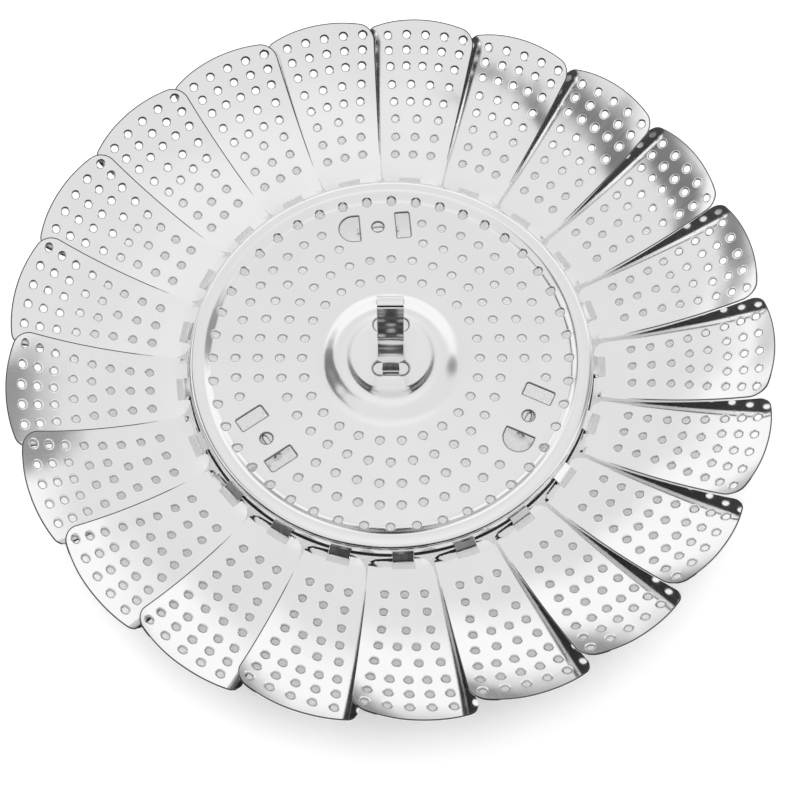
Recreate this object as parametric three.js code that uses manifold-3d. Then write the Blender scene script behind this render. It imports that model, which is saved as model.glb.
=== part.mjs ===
// Folding steamer basket: a perforated base plate, a ring of hinged petals that overlap like a
// pinwheel, a strip handle and three folding legs. Millimetres, +Z up. The basket stands on z = 0
// with the middle of its plate on the Z axis, and +Y is the far side seen from the front.
import * as THREE from "three";
import { mergeVertices } from "three/addons/utils/BufferGeometryUtils.js";
import Module from "manifold-3d";

const wasm = await Module();
wasm.setup();

// Sheet and clearance
const CLEARANCE = 0.3;
const BASE_SHEET = 0.6;
const PETAL_SHEET = 0.5;
const HOOK_SHEET = 0.5;
const LEG_SHEET = 0.6;
const HANDLE_SHEET = 0.9;

// Base plate: rises are above the hinge axes of the petals
const HINGE_HEIGHT = 24;
const PLATE_RISE = 5;
const BEAD_RADIUS = 62.4;
const BEAD_ROUND = 3.5;
const BEAD_RISE = 3.9;
const BEAD_END_ANGLE = -36;
const DOME_RADIUS = 23.4;
const DOME_RIM_RADIUS = 16.4;
const DOME_HEIGHT = 3.2;
const DISH_RADIUS = 11.8;
const DISH_DEPTH = 1.3;

// Plate perforations
const HOLE_DIAMETER = 2.8;
const FIRST_RING_RADIUS = 27.5;
const RING_STEP = 6.85;
const RING_COUNTS = [26, 32, 38, 46, 44];
const HOLE_MARGIN = 0.9;
const HOLE_SIDES = 6;

// Petals: angles in degrees, laps measured from the line half way between two petals
const PETAL_COUNT = 21;
const FIRST_PETAL_ANGLE = 5.2;
const PETAL_LENGTH = 56;
const SLOPE_AT_HINGE = 6;
const SLOPE_AT_TIP = 34;
const TWIST_AT_HINGE = 4;
const TWIST_AT_TIP = 7.8;
const TWIST_RUN_IN = 1.8;
const EDGE_CURL = 0.006;
const UPPER_LAP_AT_HINGE = 0.6;
const UPPER_LAP_AT_TIP = 0.5;
const UNDER_LAP_AT_HINGE = -1.3;
const UNDER_LAP_AT_TIP = 4.4;
const TIP_ARC_RADIUS = 45;
const TIP_CORNER = 4.5;
const UPPER_INNER_CORNER = 1.8;
const UNDER_INNER_CORNER = 4.4;

// Petal perforations: a plain grid with the open area of the finer rows of round holes
const PETAL_HOLE_COUNTS = [3, 3, 3, 3, 4, 4, 4];
const PETAL_HOLE_DIAGONAL = 3.8;
const FIRST_HOLE_ROW = 11.4;
const LAST_ROW_TO_TIP = 5;
const HOLE_ROW_MARGIN = 4.8;

// Hinge of a petal: the bar inside its window lies in a hook of the base
const BAR_WIDTH = 1.0;
const WINDOW_WIDTH = 6.2;
const WINDOW_DEPTH = 2.7;
const HOOK_END_ANGLE = -100;

// Leg stations and legs
const STATION_ANGLE = -5.3;
const STATION_INSET = 16.3;
const LUG_FACE = 5.9;
const LUG_LENGTH = 9;
const ROUND_LUG_DEPTH = 6.4;
const SQUARE_LUG_DEPTH = 4.3;
const SQUARE_LUG_CORNER = 0.6;
const STATION_HOLE_DIAMETER = 3.7;
const PIVOT_DROP = 2.5;
const PIN_DIAMETER = 1.8;
const PIN_HEAD_DIAMETER = 3.2;
const PIN_HEAD_LENGTH = 0.7;
const LEG_SPLAY = 10;
const FOOT_LENGTH = 5;
const CURL_END_ANGLE = 300;

// Handle: its height is above the dish floor
const HANDLE_WIDTH = 8;
const HANDLE_HEIGHT = 32;
const HANDLE_OFFSET = 3;
const HANDLE_FOOT_SPAN = 17;
const HANDLE_TOP_SPAN = 3.8;
const NECK_WIDTH = 5.3;
const NECK_HEIGHT = 5.5;
const SLOT_WIDTH = 10.8;
const SLOT_LENGTH = 4.2;
const CLINCH_LENGTH = 3.4;

// Facets
const BASE_STEPS_PER_PETAL = 2;
const BEAD_STEPS = 8;
const DISH_STEPS = 3;
const DOME_STEPS = 4;
const HOOK_STEPS = 6;
const CURL_STEPS = 10;
const CORNER_STEPS = 4;
const PIN_SIDES = 12;
const TIP_CORNER_SHARES = [0, 0.25, 1];
const TIP_STEPS = 3;
const WELD = 1e-4;

// Derived sizes
const { degToRad, radToDeg, lerp, smoothstep, clamp } = THREE.MathUtils;
const HALF_PITCH = Math.PI / PETAL_COUNT;
const HOOK_INNER = Math.hypot(BAR_WIDTH, PETAL_SHEET) / 2 + CLEARANCE;
const HOOK_MIDDLE = HOOK_INNER + HOOK_SHEET / 2;
const HINGE_RADIUS = BEAD_RADIUS + BAR_WIDTH / 2 + 2 * CLEARANCE;
const BEAD_FOOT_RADIUS = BEAD_RADIUS - BEAD_ROUND * (1 - Math.cos(degToRad(BEAD_END_ANGLE))) - BASE_SHEET;
const PLATE_TOP = HINGE_HEIGHT + PLATE_RISE;
const PLATE_UNDERSIDE = PLATE_TOP - BASE_SHEET;
const DISH_FLOOR = PLATE_TOP + DOME_HEIGHT - DISH_DEPTH;
const STATION_RADIUS = BEAD_RADIUS - STATION_INSET;
const PIN_BORE = PIN_DIAMETER / 2 + CLEARANCE;
const PIVOT_HEIGHT = PLATE_UNDERSIDE - PIVOT_DROP;
const LEG_WIDTH = 2 * (LUG_FACE - BASE_SHEET - CLEARANCE);
const HOLE_RADIUS = HOLE_DIAMETER / 2;
const LAST_HINGE_ROW = BAR_WIDTH / 2 + WINDOW_DEPTH + BAR_WIDTH;
const LAST_HOLE_ROW = PETAL_LENGTH - LAST_ROW_TO_TIP;

// Each leg station has a window and a lug on its clockwise side and on its other side.
const STATIONS = [
  { clockwise: SQUARE_LUG_DEPTH, other: ROUND_LUG_DEPTH },
  { clockwise: ROUND_LUG_DEPTH, other: SQUARE_LUG_DEPTH },
  { clockwise: SQUARE_LUG_DEPTH, other: SQUARE_LUG_DEPTH },
];

const polished = { metalness: 1, roughness: 0.18 };
const baseSteel = new THREE.MeshStandardMaterial({ color: 0xd9d8d6, ...polished });
const petalSteel = new THREE.MeshStandardMaterial({ color: 0xe2e1df, ...polished });
const handleSteel = new THREE.MeshStandardMaterial({ color: 0xc9c8c6, ...polished });
const legSteel = new THREE.MeshStandardMaterial({ color: 0xd0cfcd, ...polished });

// Solids and placing

// A closed geometry as a solid that can be joined and cut.
function toSolid(geometry) {
  const plain = geometry.clone();
  plain.deleteAttribute("normal");
  plain.deleteAttribute("uv");
  const merged = mergeVertices(plain, WELD);
  const corners = Array.from(merged.index.array);
  const triangles = [];
  for (let i = 0; i < corners.length; i += 3) {
    const triangle = corners.slice(i, i + 3);
    if (new Set(triangle).size === 3) {
      triangles.push(...triangle);
    }
  }
  return new wasm.Manifold(new wasm.Mesh({
    numProp: 3,
    vertProperties: merged.attributes.position.array,
    triVerts: new Uint32Array(triangles),
  }));
}

function toGeometry(solid) {
  const data = solid.getMesh();
  const geometry = new THREE.BufferGeometry();
  geometry.setAttribute("position", new THREE.BufferAttribute(data.vertProperties, 3));
  geometry.setIndex(new THREE.BufferAttribute(data.triVerts, 1));
  geometry.computeVertexNormals();
  return geometry;
}

// A turn about Z and a shift that put local X outwards, at a clockwise angle in degrees from +Y.
function outward(clockwise, radius, height) {
  const turn = new THREE.Matrix4().makeRotationZ(degToRad(90 - clockwise));
  return turn.multiply(new THREE.Matrix4().makeTranslation(radius, 0, height));
}

function placedSolid(geometry, matrix) {
  return toSolid(geometry.clone().applyMatrix4(matrix));
}

function namedMesh(name, geometry, material, matrix) {
  const mesh = new THREE.Mesh(geometry, material);
  mesh.name = name;
  if (matrix) {
    mesh.applyMatrix4(matrix);
  }
  return mesh;
}

// Outlines

// Points on an arc, from one angle to another in degrees.
function arc(x, y, radius, from, to, steps) {
  return Array.from({ length: steps + 1 }, (_, i) => {
    const angle = degToRad(lerp(from, to, i / steps));
    return new THREE.Vector2(x + radius * Math.cos(angle), y + radius * Math.sin(angle));
  });
}

function ring(x, y, radius, sides) {
  return arc(x, y, radius, 0, 360, sides).slice(0, sides);
}

// Points on an S-shaped slope, half a cosine wave, after its first point.
function slopeAfter(from, to, steps) {
  return Array.from({ length: steps }, (_, i) => {
    const share = (i + 1) / steps;
    const blend = (1 - Math.cos(Math.PI * share)) / 2;
    return new THREE.Vector2(lerp(from.x, to.x, share), lerp(from.y, to.y, blend));
  });
}

// A line moved to its left by a distance, mitred at its corners.
function shifted(points, distance) {
  const last = points.length - 1;
  return points.map((point, i) => {
    const into = points[Math.max(i, 1)].clone().sub(points[Math.max(i, 1) - 1]).normalize();
    const out = points[Math.min(i, last - 1) + 1].clone().sub(points[Math.min(i, last - 1)]).normalize();
    const normal = new THREE.Vector2(-into.y - out.y, into.x + out.x).normalize();
    const mitre = distance / (normal.y * into.x - normal.x * into.y);
    return point.clone().addScaledVector(normal, mitre);
  });
}

// A bent strip: a centre line in X and Z, given a thickness and a width that is centred on Y = 0.
function strip(centreLine, sheet, width) {
  const left = shifted(centreLine, sheet / 2);
  const right = shifted(centreLine, -sheet / 2);
  const outline = new THREE.Shape([...left, ...right.reverse()]);
  const geometry = new THREE.ExtrudeGeometry(outline, { depth: width, bevelEnabled: false });
  geometry.rotateX(Math.PI / 2);
  return geometry.translate(0, width / 2, 0);
}

// A straight-sided plate or cutter: an outline in X and Y between two heights.
function slab(points, low, high) {
  const outline = new THREE.Shape(points);
  const geometry = new THREE.ExtrudeGeometry(outline, { depth: high - low, bevelEnabled: false });
  return geometry.translate(0, 0, low);
}

// A lug, or the window it leaves: x along the bend, y away from it. A deep one has a round end.
function lugOutline(start, depth) {
  const half = LUG_LENGTH / 2;
  const corner = depth > half ? half : SQUARE_LUG_CORNER;
  const right = arc(half - corner, depth - corner, corner, 0, 90, CORNER_STEPS);
  const left = arc(corner - half, depth - corner, corner, 90, 180, CORNER_STEPS);
  return [new THREE.Vector2(-half, start), new THREE.Vector2(half, start), ...right, ...left];
}

// Base plate

// The upper side of the sheet, from the axis to the foot of the bead, which is rolled in under itself.
function plateLine() {
  const middle = new THREE.Vector2(0, DISH_FLOOR);
  const dishEdge = new THREE.Vector2(DISH_RADIUS, DISH_FLOOR);
  const rim = new THREE.Vector2(DOME_RIM_RADIUS, PLATE_TOP + DOME_HEIGHT);
  const domeFoot = new THREE.Vector2(DOME_RADIUS, PLATE_TOP);
  const beadStart = 180 - radToDeg(Math.asin((PLATE_RISE - BEAD_RISE) / BEAD_ROUND));
  const beadMiddle = [BEAD_RADIUS - BEAD_ROUND, HINGE_HEIGHT + BEAD_RISE];
  const bead = arc(...beadMiddle, BEAD_ROUND, beadStart, BEAD_END_ANGLE, BEAD_STEPS);
  const beadFoot = new THREE.Vector2(BEAD_FOOT_RADIUS, HINGE_HEIGHT + HOOK_MIDDLE);
  const dish = slopeAfter(dishEdge, rim, DISH_STEPS);
  const dome = slopeAfter(rim, domeFoot, DOME_STEPS);
  return [middle, dishEdge, ...dish, ...dome, ...bead, beadFoot];
}

// The sheet turned about the axis, with a flat of its bead behind every hook.
function plateShell() {
  const upper = plateLine();
  const lower = shifted(upper, -BASE_SHEET);
  const steps = BASE_STEPS_PER_PETAL * PETAL_COUNT;
  const shell = new THREE.LatheGeometry([...lower, ...upper.reverse()], steps);
  shell.rotateX(Math.PI / 2);
  shell.rotateZ(degToRad(180 - FIRST_PETAL_ANGLE) - Math.PI / steps);
  return toSolid(shell);
}

// A hook runs out from the foot of the bead, over the bar of a petal and down through its window.
function hook() {
  const root = new THREE.Vector2(BEAD_FOOT_RADIUS - BASE_SHEET - HINGE_RADIUS, HOOK_MIDDLE);
  const curl = arc(0, 0, HOOK_MIDDLE, 90, HOOK_END_ANGLE, HOOK_STEPS);
  return strip([root, ...curl], HOOK_SHEET, WINDOW_WIDTH - 2 * CLEARANCE);
}

function petalAngle(index) {
  return FIRST_PETAL_ANGLE + (360 * index) / PETAL_COUNT;
}

function stationAngle(index) {
  return STATION_ANGLE + (360 * index) / STATIONS.length;
}

// The lug hangs in an X-Z plane with its bore on the pivot. Its outer face is LUG_FACE from the middle.
function lug(depth, side) {
  const outline = new THREE.Shape(lugOutline(-BASE_SHEET / 2, depth));
  outline.holes.push(new THREE.Path(ring(0, PIVOT_DROP, PIN_BORE, PIN_SIDES)));
  const geometry = new THREE.ExtrudeGeometry(outline, { depth: BASE_SHEET, bevelEnabled: false });
  geometry.rotateX(-Math.PI / 2);
  return geometry.translate(0, side * (LUG_FACE - BASE_SHEET / 2) - BASE_SHEET / 2, 0);
}

// The window that a lug was bent out of lies on the far side of the lug from the leg.
function lugWindow(depth, side) {
  const outline = lugOutline(0, depth).map((p) => new THREE.Vector2(p.x, side * (LUG_FACE + p.y)));
  return slab(outline, PLATE_UNDERSIDE - BASE_SHEET, PLATE_TOP + BASE_SHEET);
}

function stationLugsAndCuts() {
  const lugs = [];
  const cuts = [];
  STATIONS.forEach((station, index) => {
    const under = outward(stationAngle(index), STATION_RADIUS, PLATE_UNDERSIDE);
    const through = outward(stationAngle(index), STATION_RADIUS, 0);
    for (const [side, depth] of [[-1, station.clockwise], [1, station.other]]) {
      lugs.push(placedSolid(lug(depth, side), under));
      cuts.push(placedSolid(lugWindow(depth, side), through));
    }
    const middle = ring(0, 0, STATION_HOLE_DIAMETER / 2, PIN_SIDES);
    cuts.push(placedSolid(slab(middle, PLATE_UNDERSIDE - BASE_SHEET, PLATE_TOP + BASE_SHEET), through));
  });
  return { lugs, cuts };
}

// Whether a hole at a place on the plate stays clear of the windows, lugs and middle holes.
function clearOfStations(x, y) {
  const reach = HOLE_RADIUS + HOLE_MARGIN;
  return STATIONS.every((station, index) => {
    const local = new THREE.Vector3(x, y, 0);
    local.applyMatrix4(outward(stationAngle(index), STATION_RADIUS, 0).invert());
    const along = Math.abs(local.x) < LUG_LENGTH / 2 + reach;
    const sideReach = local.y < 0 ? station.clockwise : station.other;
    return !along || Math.abs(local.y) > LUG_FACE + sideReach + reach;
  });
}

function plateHoles() {
  const holes = [];
  RING_COUNTS.forEach((count, index) => {
    const radius = FIRST_RING_RADIUS + RING_STEP * index;
    for (let i = 0; i < count; i += 1) {
      const [x, y] = arc(0, 0, radius, (360 * i) / count, 0, 1)[0].toArray();
      if (clearOfStations(x, y)) {
        const outline = ring(x, y, HOLE_RADIUS, HOLE_SIDES);
        holes.push(toSolid(slab(outline, PLATE_UNDERSIDE - BASE_SHEET, PLATE_TOP + BEAD_ROUND)));
      }
    }
  });
  return holes;
}

// A strip leg of the handle leans in towards the top. This is its distance from the middle at a
// height above the dish floor.
function handleHalfSpan(height) {
  return lerp(HANDLE_FOOT_SPAN / 2, HANDLE_TOP_SPAN / 2, height / HANDLE_HEIGHT);
}

// A slot has round ends. Its outer side is a clearance away from the leg of the handle.
function handleSlot(side) {
  const outer = handleHalfSpan(-BASE_SHEET) + HANDLE_SHEET / 2 + CLEARANCE;
  const middle = HANDLE_OFFSET + side * (outer - SLOT_LENGTH / 2);
  const round = SLOT_LENGTH / 2;
  const right = arc(SLOT_WIDTH / 2 - round, middle, round, -90, 90, CORNER_STEPS);
  const left = arc(round - SLOT_WIDTH / 2, middle, round, 90, 270, CORNER_STEPS);
  const low = DISH_FLOOR - 2 * BASE_SHEET;
  return toSolid(slab([...right, ...left], low, DISH_FLOOR + DISH_DEPTH + BASE_SHEET));
}

function basePlate() {
  const station = stationLugsAndCuts();
  const hooks = Array.from({ length: PETAL_COUNT }, (_, i) => {
    return placedSolid(hook(), outward(petalAngle(i), HINGE_RADIUS, HINGE_HEIGHT));
  });
  const cuts = [...plateHoles(), ...station.cuts, handleSlot(-1), handleSlot(1)];
  const cutShell = plateShell().subtract(wasm.Manifold.union(cuts));
  return wasm.Manifold.union([cutShell, ...hooks, ...station.lugs]);
}

// Petals

// The middle line of a petal is an arc that steepens outwards. Lengths are from the hinge axis.
function middleLine(along) {
  const start = degToRad(SLOPE_AT_HINGE);
  const bend = (degToRad(SLOPE_AT_TIP) - start) / PETAL_LENGTH;
  const slope = start + bend * along;
  const x = (Math.sin(slope) - Math.sin(start)) / bend;
  const z = (Math.cos(start) - Math.cos(slope)) / bend;
  return { x, z, slope };
}

// A point of a petal: across is positive on the clockwise side, which lies over the next petal. The
// sheet twists so that this side stands higher, and its edge curls up towards the tip.
function petalPoint(along, across, lift) {
  const { x, z, slope } = middleLine(along);
  const share = clamp(along / PETAL_LENGTH, 0, 1);
  const twist = lerp(TWIST_AT_HINGE, TWIST_AT_TIP, share) * smoothstep(along, 0, TWIST_RUN_IN);
  const curl = EDGE_CURL * share * Math.max(across, 0) ** 2;
  const up = Math.tan(degToRad(twist)) * across + curl + lift;
  return [x - Math.sin(slope) * up, -across, z + Math.cos(slope) * up];
}

// How far a rounded corner has drawn an edge in, at a distance from the corner's end.
function cornerInset(radius, distance) {
  const left = clamp(radius - distance, 0, radius);
  return radius - Math.sqrt(radius ** 2 - left ** 2);
}

// Half the width of a petal without its laps, at a distance from the hinge axis.
function pitchHalfWidth(along) {
  return (HINGE_RADIUS + middleLine(along).x) * Math.tan(HALF_PITCH);
}

// Half the width of a petal on its upper, clockwise side or on its lower side.
function petalHalfWidth(along, upper) {
  const share = clamp(along / PETAL_LENGTH, 0, 1);
  const lapAtHinge = upper ? UPPER_LAP_AT_HINGE : UNDER_LAP_AT_HINGE;
  const lapAtTip = upper ? UPPER_LAP_AT_TIP : UNDER_LAP_AT_TIP;
  const corner = upper ? UPPER_INNER_CORNER : UNDER_INNER_CORNER;
  const inset = cornerInset(corner, along + BAR_WIDTH / 2);
  return pitchHalfWidth(along) + lerp(lapAtHinge, lapAtTip, share) - inset;
}

// The length of a petal at a place across its tip: an arc with rounded corners.
function petalReach(across) {
  const sag = TIP_ARC_RADIUS - Math.sqrt(TIP_ARC_RADIUS ** 2 - across ** 2);
  const edge = petalHalfWidth(PETAL_LENGTH, across > 0) - Math.abs(across);
  return PETAL_LENGTH - sag - cornerInset(TIP_CORNER, edge);
}

// The two ends of a row in the flat pattern, x along and y across. They are drawn in towards the hinge
// as the corners of the tip are.
function rowEnds(along) {
  const share = clamp((along - LAST_HINGE_ROW) / (PETAL_LENGTH - LAST_HINGE_ROW), 0, 1);
  return [-1, 1].map((side) => {
    const upper = side > 0;
    const drawnIn = PETAL_LENGTH - petalReach(side * petalHalfWidth(PETAL_LENGTH, upper));
    const end = along - share * drawnIn;
    return new THREE.Vector2(end, side * petalHalfWidth(end, upper));
  });
}

// A row that goes round its openings: the inner line passes them on the side of the hinge, and the
// outer line on the side of the tip. Each opening gives the points of both of its sides.
function openRow(along, openings) {
  const [first, last] = rowEnds(along);
  return {
    inner: [first, ...openings.flatMap((opening) => opening.inner), last],
    outer: [first, ...openings.flatMap((opening) => opening.outer), last],
  };
}

// The window takes the hook. Its inner side is on the row.
function hingeWindow() {
  const [near, far] = [BAR_WIDTH / 2, BAR_WIDTH / 2 + WINDOW_DEPTH];
  const half = WINDOW_WIDTH / 2;
  const ends = [new THREE.Vector2(near, -half), new THREE.Vector2(near, half)];
  const farSide = [new THREE.Vector2(far, -half), new THREE.Vector2(far, half)];
  return { inner: ends, outer: [ends[0], ...farSide, ends[1]] };
}

function petalHole(along, across) {
  const half = PETAL_HOLE_DIAGONAL / 2;
  const lower = new THREE.Vector2(along, across - half);
  const upper = new THREE.Vector2(along, across + half);
  const near = new THREE.Vector2(along - half, across);
  const far = new THREE.Vector2(along + half, across);
  return { inner: [lower, near, upper], outer: [lower, far, upper] };
}

function holeRow(count, index) {
  const along = lerp(FIRST_HOLE_ROW, LAST_HOLE_ROW, index / (PETAL_HOLE_COUNTS.length - 1));
  const spread = pitchHalfWidth(along) - HOLE_ROW_MARGIN;
  const holes = Array.from({ length: count }, (_, i) => {
    return petalHole(along, lerp(-spread, spread, i / (count - 1)));
  });
  return openRow(along, holes);
}

function tipRow() {
  const corners = [-1, 1].map((side) => TIP_CORNER_SHARES.map((share) => {
    return side * (petalHalfWidth(PETAL_LENGTH, side > 0) - share * TIP_CORNER);
  }));
  const [from, to] = corners.map((places) => places[places.length - 1]);
  const between = Array.from({ length: TIP_STEPS - 1 }, (_, i) => lerp(from, to, (i + 1) / TIP_STEPS));
  const places = [...corners[0], ...between, ...corners[1].reverse()];
  return { inner: places.map((across) => new THREE.Vector2(petalReach(across), across)) };
}

// The sheet between its two faces as one closed geometry. The flat pattern is cut into bands from row
// to row, and every edge that only one band has gets a wall.
function petal() {
  const rows = [
    openRow(-BAR_WIDTH / 2, []),
    openRow(BAR_WIDTH / 2, [hingeWindow()]),
    openRow(LAST_HINGE_ROW, []),
    ...PETAL_HOLE_COUNTS.map(holeRow),
    tipRow(),
  ];
  const places = [];
  const edges = new Map();
  const triangles = [];
  const number = (point) => {
    const known = places.indexOf(point);
    return known < 0 ? places.push(point) - 1 : known;
  };
  rows.slice(1).forEach((row, i) => {
    const band = [...row.inner, ...rows[i].outer.slice().reverse()];
    const numbers = band.map(number);
    for (const corners of THREE.ShapeUtils.triangulateShape(band, [])) {
      triangles.push(corners.map((corner) => numbers[corner]));
    }
    numbers.forEach((from, k) => {
      const to = numbers[(k + 1) % numbers.length];
      if (!edges.delete(`${to},${from}`)) {
        edges.set(`${from},${to}`, [from, to]);
      }
    });
  });
  const count = places.length;
  const index = triangles.flatMap(([a, b, c]) => [a, b, c, count + a, count + c, count + b]);
  for (const [a, b] of edges.values()) {
    index.push(a, count + a, count + b, a, count + b, b);
  }
  const faces = [-PETAL_SHEET / 2, PETAL_SHEET / 2].map((lift) => {
    return places.map((place) => petalPoint(place.x, place.y, lift));
  });
  const geometry = new THREE.BufferGeometry();
  geometry.setAttribute("position", new THREE.Float32BufferAttribute(faces.flat(2), 3));
  geometry.setIndex(index);
  geometry.computeVertexNormals();
  return geometry;
}

// Legs and their pins

// The sheet is rolled round the pin, runs down and outwards and ends in a flat foot on z = 0.
function leg() {
  const middle = PIN_BORE + LEG_SHEET / 2;
  const roll = arc(0, 0, middle, CURL_END_ANGLE, LEG_SPLAY, CURL_STEPS);
  const last = roll[roll.length - 1];
  const floor = LEG_SHEET / 2 - PIVOT_HEIGHT;
  const heel = new THREE.Vector2(last.x + (last.y - floor) * Math.tan(degToRad(LEG_SPLAY)), floor);
  const toe = new THREE.Vector2(heel.x + FOOT_LENGTH, floor);
  return strip([...roll, heel, toe], LEG_SHEET, LEG_WIDTH);
}

function legPin() {
  const shank = LUG_FACE + CLEARANCE;
  const end = shank + PIN_HEAD_LENGTH;
  const half = [
    new THREE.Vector2(PIN_DIAMETER / 2, shank),
    new THREE.Vector2(PIN_HEAD_DIAMETER / 2, shank),
    new THREE.Vector2(PIN_HEAD_DIAMETER / 2, end),
    new THREE.Vector2(0, end),
  ];
  const otherHalf = half.map((point) => new THREE.Vector2(point.x, -point.y)).reverse();
  return toGeometry(toSolid(new THREE.LatheGeometry([...otherHalf, ...half], PIN_SIDES)));
}

// Handle

// A strip bent to an arch. Each leg narrows to a neck, goes through its slot and is clinched outwards.
function handle() {
  const arch = [
    new THREE.Vector2(-handleHalfSpan(NECK_HEIGHT), NECK_HEIGHT),
    new THREE.Vector2(-handleHalfSpan(HANDLE_HEIGHT), HANDLE_HEIGHT - HANDLE_SHEET / 2),
    new THREE.Vector2(handleHalfSpan(HANDLE_HEIGHT), HANDLE_HEIGHT - HANDLE_SHEET / 2),
    new THREE.Vector2(handleHalfSpan(NECK_HEIGHT), NECK_HEIGHT),
  ];
  const under = -(BASE_SHEET + CLEARANCE + HANDLE_SHEET / 2);
  const necks = [-1, 1].map((side) => [
    new THREE.Vector2(side * handleHalfSpan(NECK_HEIGHT + HANDLE_SHEET), NECK_HEIGHT + HANDLE_SHEET),
    new THREE.Vector2(side * handleHalfSpan(under), under),
    new THREE.Vector2(side * (handleHalfSpan(under) + CLINCH_LENGTH), under),
  ]);
  const strips = [
    strip(arch, HANDLE_SHEET, HANDLE_WIDTH),
    ...necks.map((neck) => strip(neck, HANDLE_SHEET, NECK_WIDTH)),
  ];
  return toGeometry(wasm.Manifold.union(strips.map(toSolid)));
}

// Assembly

const basket = new THREE.Group();
basket.add(namedMesh("base_plate", toGeometry(basePlate()), baseSteel));

const petalGeometry = petal();
for (let i = 0; i < PETAL_COUNT; i += 1) {
  const name = `petal_${String(i + 1).padStart(2, "0")}`;
  const place = outward(petalAngle(i), HINGE_RADIUS, HINGE_HEIGHT);
  basket.add(namedMesh(name, petalGeometry, petalSteel, place));
}

STATIONS.forEach((station, index) => {
  const pivot = outward(stationAngle(index), STATION_RADIUS, PIVOT_HEIGHT);
  basket.add(namedMesh(`leg_${index + 1}`, leg(), legSteel, pivot));
  basket.add(namedMesh(`leg_pin_${index + 1}`, legPin(), legSteel, pivot));
});

// The handle is drawn along X and turned so that its arch spans the basket from front to back.
const handlePlace = new THREE.Matrix4().makeTranslation(0, HANDLE_OFFSET, DISH_FLOOR);
handlePlace.multiply(new THREE.Matrix4().makeRotationZ(Math.PI / 2));
basket.add(namedMesh("handle_loop", handle(), handleSteel, handlePlace));

export default basket;
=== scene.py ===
# %% [markdown]
# # A folding steamer basket
#
# The basket is thin polished steel sheet: a perforated plate with a raised bead, a ring of hinged petals
# that overlap like a pinwheel, a strip handle in the middle and three folding legs underneath. This lesson
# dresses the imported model. Every sheet is worked out as a flat pattern first, with its holes, and then bent
# into place by a formula, which is how the real pieces are stamped and pressed.

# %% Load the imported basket
import math

import bpy
import numpy as np
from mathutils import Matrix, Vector
from mathutils.geometry import delaunay_2d_cdt


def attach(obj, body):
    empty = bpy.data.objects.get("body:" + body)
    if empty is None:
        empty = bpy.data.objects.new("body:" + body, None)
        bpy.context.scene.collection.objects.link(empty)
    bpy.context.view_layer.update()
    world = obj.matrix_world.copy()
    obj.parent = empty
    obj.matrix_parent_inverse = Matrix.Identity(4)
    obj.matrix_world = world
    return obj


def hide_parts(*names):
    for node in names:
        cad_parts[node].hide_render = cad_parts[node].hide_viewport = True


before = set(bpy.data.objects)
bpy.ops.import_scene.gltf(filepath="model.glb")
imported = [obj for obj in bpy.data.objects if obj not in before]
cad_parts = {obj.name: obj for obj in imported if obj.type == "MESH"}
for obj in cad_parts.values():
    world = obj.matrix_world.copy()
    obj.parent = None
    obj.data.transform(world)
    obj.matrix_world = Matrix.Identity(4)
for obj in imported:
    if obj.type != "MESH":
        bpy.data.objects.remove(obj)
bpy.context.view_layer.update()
scene = bpy.context.scene
MM = 0.001

# %% [markdown]
# ## The camera
#
# The photograph looks down steeply at the front of the basket. A long lens about half a metre away gives the
# same slight widening of the near side. The lens is written as a focal length in picture widths, and the two
# offsets slide the camera in its own picture plane, so no lens shift is needed.

# %% Place the camera
SENSOR_WIDTH = 36
FOCAL_WIDTHS = 1679 / 800
CAMERA_ELEVATION = math.radians(67.16)
CAMERA_DISTANCE = 522.4
PICTURE_RIGHT = 2.8
PICTURE_UP = -11.2
AIM_HEIGHT = 24.3

camera_data = bpy.data.cameras.new("camera")
camera_data.sensor_width = SENSOR_WIDTH
camera_data.lens = SENSOR_WIDTH * FOCAL_WIDTHS
camera = bpy.data.objects.new("camera", camera_data)
scene.collection.objects.link(camera)
picture_up = Vector((0, math.sin(CAMERA_ELEVATION), math.cos(CAMERA_ELEVATION)))
picture_back = Vector((0, -math.cos(CAMERA_ELEVATION), math.sin(CAMERA_ELEVATION)))
stand = Vector((PICTURE_RIGHT, 0, AIM_HEIGHT)) + picture_up * PICTURE_UP + picture_back * CAMERA_DISTANCE
camera.location = stand * MM
camera.rotation_euler = (math.pi / 2 - CAMERA_ELEVATION, 0, 0)
scene.camera = camera
print("camera at, mm:", [round(c) for c in stand])

# %% [markdown]
# ## Polished steel
#
# Stainless sheet has almost no colour of its own: it shows its surroundings. What makes it look like steel is
# a slightly blurred mirror that is not quite flat. So the material is a metal whose roughness wanders a
# little, with a faint rolling grain and a slow waviness in its bump. The grain of a petal follows the petal's
# own pattern, through its UV map. The other pieces use plain object coordinates. On the handle the wave is
# drawn out into streaks.
#
# Steel is not polished everywhere. Where a punch has sheared the sheet it is duller and darker, and that darker
# ring is also painted shade that outlines each hole. Cut edges, the lip and a strip under each lifted petal edge
# are painted almost black, as painted shade in the gaps. A number on each point of the mesh, an attribute, says
# which it is: 0 for polished, 1 for sheared with painted shade and 2 for near-black painted shade.

# %% Steel material
# The sheared tone is duller metal and partly painted shade round holes. The near-black tone is painted shade for
# cut edges, the lip and the strip under a lifted petal edge.
SHEARED_AND_SHADED_TONE = (0.46, 0.46, 0.46, 1)
PAINTED_SHADE_TONE = (0.05, 0.05, 0.05, 1)
SHEARED_FROM, SHEARED_TO = 0.3, 0.7
PAINTED_SHADE_FROM, PAINTED_SHADE_TO = 1.2, 1.7
SHEARED_ROUGHNESS = 0.42
GRAIN_STRETCH = (900, 40, 900)
GRAIN_HEIGHT = 0.004
CLOUD_SCALE = 60.0


def node(tree, kind, inputs=None, **settings):
    """Adds a shader node. Inputs that are sockets get a link, and others are written as values."""
    made = tree.nodes.new(kind)
    for key, value in settings.items():
        setattr(made, key, value)
    for key, value in (inputs or {}).items():
        if isinstance(value, bpy.types.NodeSocket):
            tree.links.new(value, made.inputs[key])
        else:
            made.inputs[key].default_value = value
    return made


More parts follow.
